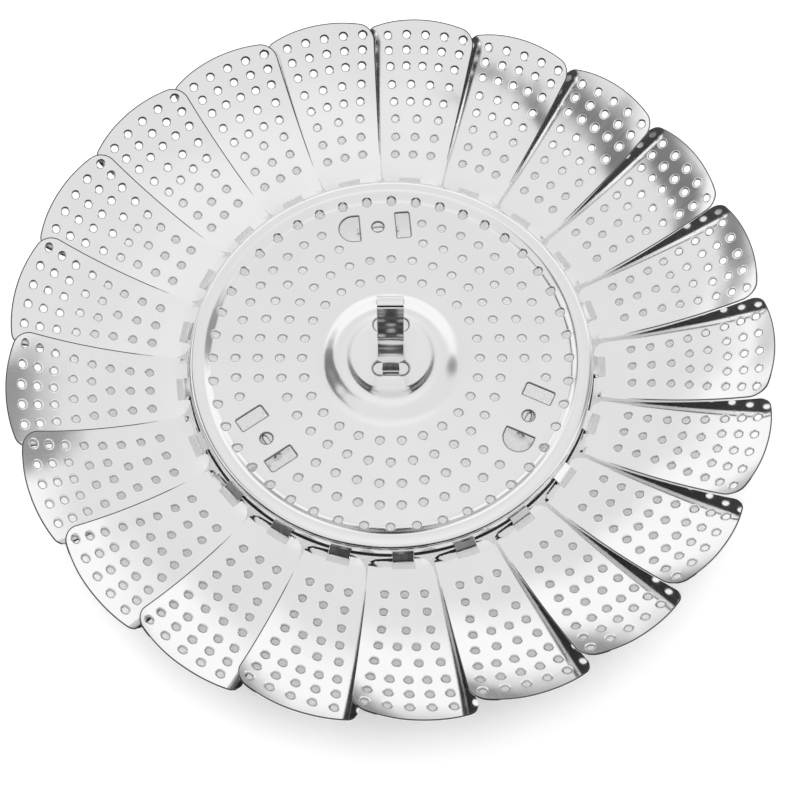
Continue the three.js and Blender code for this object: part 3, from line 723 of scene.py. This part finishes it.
def bend(x, z, radius, start, end, steps):
    """Points on an arc, angles in degrees from outwards, counter-clockwise."""
    angle = np.radians(np.linspace(start, end, steps))
    return np.stack([x + radius * np.cos(angle), z + radius * np.sin(angle)], axis=1)


print("strip helper ready")

# %% Hooks and lugs
BASE_UNDER = PLATE_TOP - BASE_SHEET
LUG_BEND = 0.7
LUG_SINK = 0.04
HOOK_RAMP = 56


def hook_strip(index):
    """A ramp from the bead to the circle round the bar of a petal, then on round it, down through the window."""
    curl = bend(0, 0, HOOK_MIDDLE, HOOK_RAMP, -100, 18)
    down = np.array([math.sin(math.radians(HOOK_RAMP)), -math.cos(math.radians(HOOK_RAMP))])
    ramp = curl[0] - np.linspace(3.0, 0.3, 5)[:, None] * down
    points, sets = strip(np.concatenate([ramp, curl]), HOOK_SHEET, WINDOW_WIDTH / 2 - 0.25)
    return turned(points, FIRST_PETAL + 360 * index / PETALS, HINGE_RADIUS, HINGE_HEIGHT), sets


def lug_strip(index, depth, side):
    """Out from the middle of the station, round a tight bend and straight down to a round or square end."""
    inner = LUG_FACE - BASE_SHEET / 2 - LUG_BEND
    outline = lug_outline(depth, 9)
    level = -BASE_SHEET / 2 - LUG_SINK
    over = bend(inner, level - LUG_BEND, LUG_BEND, 90, 0, 7)
    down = np.stack([np.full(len(outline), LUG_FACE - BASE_SHEET / 2), -BASE_SHEET - outline[:, 1]], axis=1)
    line = np.concatenate([[(inner - 0.6, level)], over, down])
    half = np.concatenate([np.full(8, LUG_HALF), np.maximum(outline[:, 0], 0.3)])
    points, sets = strip(line, BASE_SHEET, half)
    local = np.stack([-side * points[:, 1], side * points[:, 0], points[:, 2]], axis=1)
    return turned(local, STATION_TURN + 120 * index, STATION_RADIUS, PLATE_TOP), sets


hooks = [hook_strip(index) for index in range(PETALS)]
lugs = [lug_strip(index, depth, side) for index, depths in enumerate(STATIONS)
        for depth, side in zip(depths, (-1, 1))]
base = piece("base_plate_sheet", *joined([plate, *hooks, *lugs]), base_steel, "base_plate", "base", "base_steel",
             sheared_and_painted_shade=np.tile(plate_sheared_and_shade, 2))
print("base plate with", len(hooks), "hooks and", len(lugs), "lugs:", len(base.data.polygons), "faces")

# %% [markdown]
# ## Handle
#
# The handle is one strip bent to a narrow arch. Its legs lean together and are slightly bowed, and the top
# between the two bends is short and flat. At each foot the strip steps in to a neck, passes through its slot
# and is bent outwards below, which holds it for good.

# %% Handle strip
HANDLE_SHEET = 0.9
HANDLE_HALF = 4.0
HANDLE_TOP = 32.0
# Heights above the dish floor, and how far each leg stands from the middle there.
LEG_HEIGHTS = (-2, 0, 12, 18, 32)
LEG_PLACES = (8.6, 8.6, 5.6, 4.8, 1.3)
NECK_HALF = 2.65
NECK_HEIGHT = 5.5
CLINCH_DROP = BASE_SHEET + PLAY + HANDLE_SHEET / 2
CLINCH_LENGTH = 3.4
HANDLE_BEND = 1.3
# Heights where a leg has points: close together at the step of the neck.
LEG_POINTS = (-0.6, 0, 2, 4, 5.2, 5.35, 5.5, 5.75, 6.1, 8, 10, 12, 14, 16, 18, 20, 23, 26)


def leaning(height):
    """Distance of a handle leg from the middle at a height above the dish floor."""
    return np.interp(height, LEG_HEIGHTS, LEG_PLACES)


def handle_strip():
    """Half the arch from the clinched end to the middle of the top, and its mirror image."""
    lean = math.atan2(LEG_PLACES[3] - LEG_PLACES[4], LEG_HEIGHTS[4] - LEG_HEIGHTS[3])
    crest = HANDLE_TOP - HANDLE_SHEET / 2
    turn = math.pi / 2 - lean
    back = HANDLE_BEND * math.tan(turn / 2)
    corner = float(leaning(crest))
    top = bend(corner - back, crest - HANDLE_BEND, HANDLE_BEND, math.degrees(lean), 90, 10)
    rise = np.array([-CLINCH_DROP, *LEG_POINTS])
    leg = np.stack([leaning(rise), rise], axis=1)
    foot = leg[0] + np.array([(CLINCH_LENGTH, 0), (0.6, 0)])
    leg[0] += (0.12, 0.1)  # the corner of the clinch is drawn into a small bend
    half = np.concatenate([foot, leg, top, [(0, crest)]])
    step = np.clip((half[:, 1] - NECK_HEIGHT + 0.3) / 0.9, 0, 1)
    wide = NECK_HALF + (HANDLE_HALF - NECK_HALF) * np.sin(step * np.pi / 2)
    line = np.concatenate([half, (half * (-1, 1))[-2::-1]])
    points, sets = strip(line, HANDLE_SHEET, np.concatenate([wide, wide[-2::-1]]), 0.16)
    return np.stack([-points[:, 1], points[:, 0] + HANDLE_BACK, points[:, 2] + DISH_FLOOR], axis=1), sets


handle = piece("handle_loop_strip", *handle_strip(), handle_steel, "handle_loop", "base", "handle_steel", 40)
print("handle:", len(handle.data.polygons), "faces")

# %% [markdown]
# ## Legs and pins
#
# The legs are hidden under the plate. Each is a strip that is rolled round its pin, runs down and a little
# outwards and ends in a flat foot. A pin is a turned piece: a line of points spun about its axis, with round
# heads outside the lugs.

# %% Legs and pins
LEG_SHEET = 0.6
PIN_RADIUS = 0.9
PIN_HEAD = 1.6
HEAD_EDGE = 0.2
HEAD_DOME = 0.5
PIVOT_HEIGHT = BASE_UNDER - 2.5
LEG_HALF = LUG_FACE - BASE_SHEET - PLAY
LEG_SPLAY = 10
FOOT_LENGTH = 5.0
HEEL_BEND = 1.0


def leg_strip(index):
    """The roll round the pin, the blade at its splay and the foot, with a small bend at the heel."""
    roll = bend(0, 0, PIN_RADIUS + PLAY + LEG_SHEET / 2, 300, LEG_SPLAY, 28)
    floor = LEG_SHEET / 2 - PIVOT_HEIGHT
    lean = math.radians(LEG_SPLAY)
    heel = roll[-1, 0] + (roll[-1, 1] - floor) * math.tan(lean)
    back = HEEL_BEND * math.tan((math.pi / 2 - lean) / 2)
    curve = bend(heel + back, floor + HEEL_BEND, HEEL_BEND, 180 + LEG_SPLAY, 270, 8)
    blade = np.linspace(roll[-1], curve[0], 8)[1:-1]
    points, sets = strip(np.concatenate([roll, blade, curve, [(heel + FOOT_LENGTH, floor)]]), LEG_SHEET, LEG_HALF)
    return turned(points, STATION_TURN + 120 * index, STATION_RADIUS, PIVOT_HEIGHT), sets


def pin_turning(index, sides=28):
    """A profile of (radius, place along the pin) spun about local Y."""
    shank = LUG_FACE + PLAY
    dome = np.linspace(0, np.pi / 2, 7)
    head = np.stack([PIN_HEAD * np.cos(dome), shank + HEAD_EDGE + HEAD_DOME * np.sin(dome)], axis=1)[:-1]
    end = (0.02, shank + HEAD_EDGE + HEAD_DOME)
    half = np.concatenate([[(PIN_RADIUS, shank), (PIN_HEAD, shank)], head, [end]])
    profile = np.concatenate([half[::-1] * (1, -1), half])
    turn = np.arange(sides) * (2 * np.pi / sides)
    radius, place = profile[:, :1], np.broadcast_to(profile[:, 1:], (len(profile), sides))
    points = np.stack([radius * np.cos(turn), place, radius * np.sin(turn)], axis=2).reshape(-1, 3)
    first = np.arange(len(profile) - 1)[:, None] * sides
    here = np.arange(sides)
    after = (here + 1) % sides
    quads = np.stack([first + here, first + sides + here, first + sides + after, first + after], axis=2)
    caps = np.stack([here, here[::-1] + sides * (len(profile) - 1)])
    spun = turned(points, STATION_TURN + 120 * index, STATION_RADIUS, PIVOT_HEIGHT)
    return spun, [quads.reshape(-1, 4), caps]


for index in range(3):
    leg_name = "leg_%d" % (index + 1)
    pin_name = "leg_pin_%d" % (index + 1)
    leg = piece(leg_name + "_strip", *leg_strip(index), leg_steel, leg_name, leg_name, "leg_steel", 40)
    pin = piece(pin_name + "_turning", *pin_turning(index), leg_steel, pin_name, "base", "leg_steel", 40)
print("legs and pins:", len(leg.data.polygons), "and", len(pin.data.polygons), "faces each")

# %% [markdown]
# ## Floor and light
#
# Polished steel needs a room to reflect. The world is a pale studio: white for the camera, and for everything
# else a soft dome that is dark near the horizon, a little dimmer half way up and bright overhead. Three darker
# places give the petals and the handle their streaks: a low front, a leaning band on the left and a small place
# on the right.
#
# The floor has a faint light of its own, which the camera and the metal see, so that a pale floor comes out
# white. That light is weaker below the rim of the basket, a painted shadow that stays in place when the basket
# folds, and a little stronger under its middle, painted light seen through the holes. One large lamp high on the
# left makes the shadow soft, and it isn't mirrored in the metal.

# %% Floor
FLOOR_HALF = 6
FLOOR_TONE = (0.93, 0.93, 0.93, 1)
# The floor's own light: two distances from the middle in metres, and its strength at each of them.
# Outside: the white glow, which fades to nothing under the rim, a painted shadow.
GLOW_WITH_PAINTED_SHADOW = (0.097, 0.122, 0.0, 0.34)
# Inside: painted light under the middle of the basket, brighter than the floor round it.
PAINTED_LIGHT_INSIDE = (0.05, 0.075, 0.32, 0.12)


def smooth_step(tree, value, numbers):
    """A smooth step from the third number to the fourth, while the value goes from the first to the second."""
    ends = dict(zip(("From Min", "From Max", "To Min", "To Max"), numbers))
    return node(tree, "ShaderNodeMapRange", {"Value": value, **ends}, interpolation_type="SMOOTHSTEP").outputs[0]


floor_material = bpy.data.materials.new("pale_floor")
floor_material.use_nodes = True
tree = floor_material.node_tree
tree.nodes.clear()
path = node(tree, "ShaderNodeLightPath")
sight = path.outputs["Is Camera Ray"]
for ray in ("Is Glossy Ray", "Is Transmission Ray"):
    sight = node(tree, "ShaderNodeMath", {0: sight, 1: path.outputs[ray]}, operation="MAXIMUM").outputs[0]
coat = node(tree, "ShaderNodeBsdfDiffuse", {"Color": FLOOR_TONE})
spot = node(tree, "ShaderNodeTexCoord")
from_middle = node(tree, "ShaderNodeVectorMath", {0: spot.outputs["Object"]}, operation="LENGTH").outputs["Value"]
# White glow with a painted shadow under the rim and painted light under the middle.
glow_and_painted_light = [smooth_step(tree, from_middle, numbers) for numbers in (GLOW_WITH_PAINTED_SHADOW, PAINTED_LIGHT_INSIDE)]
spread = node(tree, "ShaderNodeMath", {0: glow_and_painted_light[0], 1: glow_and_painted_light[1]}, operation="ADD")
glow = node(tree, "ShaderNodeEmission", {"Color": (1, 1, 1, 1), "Strength": spread.outputs[0]})
both = node(tree, "ShaderNodeAddShader", {0: coat.outputs[0], 1: glow.outputs[0]})
seen = node(tree, "ShaderNodeMixShader", {0: sight, 1: coat.outputs[0], 2: both.outputs[0]})
node(tree, "ShaderNodeOutputMaterial", {"Surface": seen.outputs[0]})
floor_mesh = bpy.data.meshes.new("floor")
corners = FLOOR_HALF * np.array([(-1, -1, 0), (1, -1, 0), (1, 1, 0), (-1, 1, 0)])
floor_mesh.from_pydata(corners.tolist(), [], [(0, 1, 2, 3)])
floor_mesh.materials.append(floor_material)
floor = bpy.data.objects.new("floor", floor_mesh)
scene.collection.objects.link(floor)
print("floor:", floor.name)

# %% Directions in the studio
WOBBLE = 0.28
world = bpy.data.worlds.new("studio")
scene.world = world
world.use_nodes = True
tree = world.node_tree
tree.nodes.clear()
sky = node(tree, "ShaderNodeTexCoord").outputs["Generated"]
uneven = node(tree, "ShaderNodeTexNoise", {"Vector": sky, "Scale": 4.0, "Detail": 2.0})
shift = node(tree, "ShaderNodeVectorMath", {0: uneven.outputs["Color"], 1: (0.5, 0.5, 0.5)}, operation="SUBTRACT")
wobble = node(tree, "ShaderNodeVectorMath", {0: shift.outputs[0], 1: (WOBBLE, WOBBLE, WOBBLE), 2: sky},
              operation="MULTIPLY_ADD")
way = node(tree, "ShaderNodeVectorMath", {0: wobble.outputs[0]}, operation="NORMALIZE")
part = node(tree, "ShaderNodeSeparateXYZ", {"Vector": way.outputs[0]})
toward = node(tree, "ShaderNodeMath", {0: part.outputs["Y"], 1: -1.0}, operation="MULTIPLY")
azimuth = node(tree, "ShaderNodeMath", {0: part.outputs["X"], 1: toward.outputs[0]}, operation="ARCTAN2").outputs[0]
elevation = node(tree, "ShaderNodeMath", {0: part.outputs["Z"]}, operation="ARCSINE").outputs[0]


def over_height(low, high, from_degrees, to_degrees):
    """Light that goes from one level to another between two elevations."""
    return smooth_step(tree, elevation, (math.radians(from_degrees), math.radians(to_degrees), low, high))


def scaled(angle, place, wide):
    """An angle less its place, in units of a width, both in degrees."""
    return node(tree, "ShaderNodeMath", {0: angle, 1: 1 / math.radians(wide), 2: -place / wide},
                operation="MULTIPLY_ADD").outputs[0]


def patch(light, level, middle, spread, core, lean=0.0):
    """Brings the light to a level inside a leaning oval of azimuth and elevation, and fades from core to rim."""
    slide = node(tree, "ShaderNodeMath", {0: azimuth, 1: -lean, 2: elevation}, operation="MULTIPLY_ADD").outputs[0]
    x = scaled(azimuth, middle[0], spread[0])
    y = scaled(slide, middle[1] - lean * middle[0], spread[1])
    spot = node(tree, "ShaderNodeCombineXYZ", {0: x, 1: y})
    off = node(tree, "ShaderNodeVectorMath", {0: spot.outputs[0]}, operation="LENGTH")
    amount = smooth_step(tree, off.outputs["Value"], (core, 1.0, 1.0, 0.0))
    return node(tree, "ShaderNodeMix", {"Factor": amount, "A": light, "B": level}).outputs["Result"]


print("directions ready")

# %% World and lamp
horizon = over_height(0.28, 1.04, 3, 17)
walls = over_height(1.0, 0.79, 28, 42)
ceiling = over_height(1.0, 1.12, 62, 82)
light = node(tree, "ShaderNodeMath", {0: horizon, 1: walls}, operation="MULTIPLY")
light = node(tree, "ShaderNodeMath", {0: light.outputs[0], 1: ceiling}, operation="MULTIPLY").outputs[0]
# The leaning band on the left, the small place on the right and the low front.
light = patch(light, 0.2, (-102, 44), (48, 9), 0.35, 0.58)
light = patch(light, 0.33, (108, 31), (18, 20), 0.35)
light = patch(light, 0.03, (-9, 8), (94, 40), 0.8)
white = node(tree, "ShaderNodeBackground", {"Color": (1, 1, 1, 1), "Strength": 1.0})
room = node(tree, "ShaderNodeBackground", {"Color": (1, 1, 1, 1), "Strength": light})
path = node(tree, "ShaderNodeLightPath")
chosen = node(tree, "ShaderNodeMixShader",
              {0: path.outputs["Is Camera Ray"], 1: room.outputs[0], 2: white.outputs[0]})
node(tree, "ShaderNodeOutputWorld", {"Surface": chosen.outputs[0]})

lamp_data = bpy.data.lights.new("soft_lamp", "AREA")
lamp_data.shape = "DISK"
lamp_data.size = 0.9
lamp_data.energy = 2.0
lamp = bpy.data.objects.new("soft_lamp", lamp_data)
scene.collection.objects.link(lamp)
lamp.location = (-0.25, 0.25, 1.0)
lamp.visible_glossy = False
lamp.rotation_euler = (Vector((0, 0, 0)) - lamp.location).to_track_quat("-Z", "Y").to_euler()
scene.view_settings.view_transform = "Standard"
print("world and lamp ready")
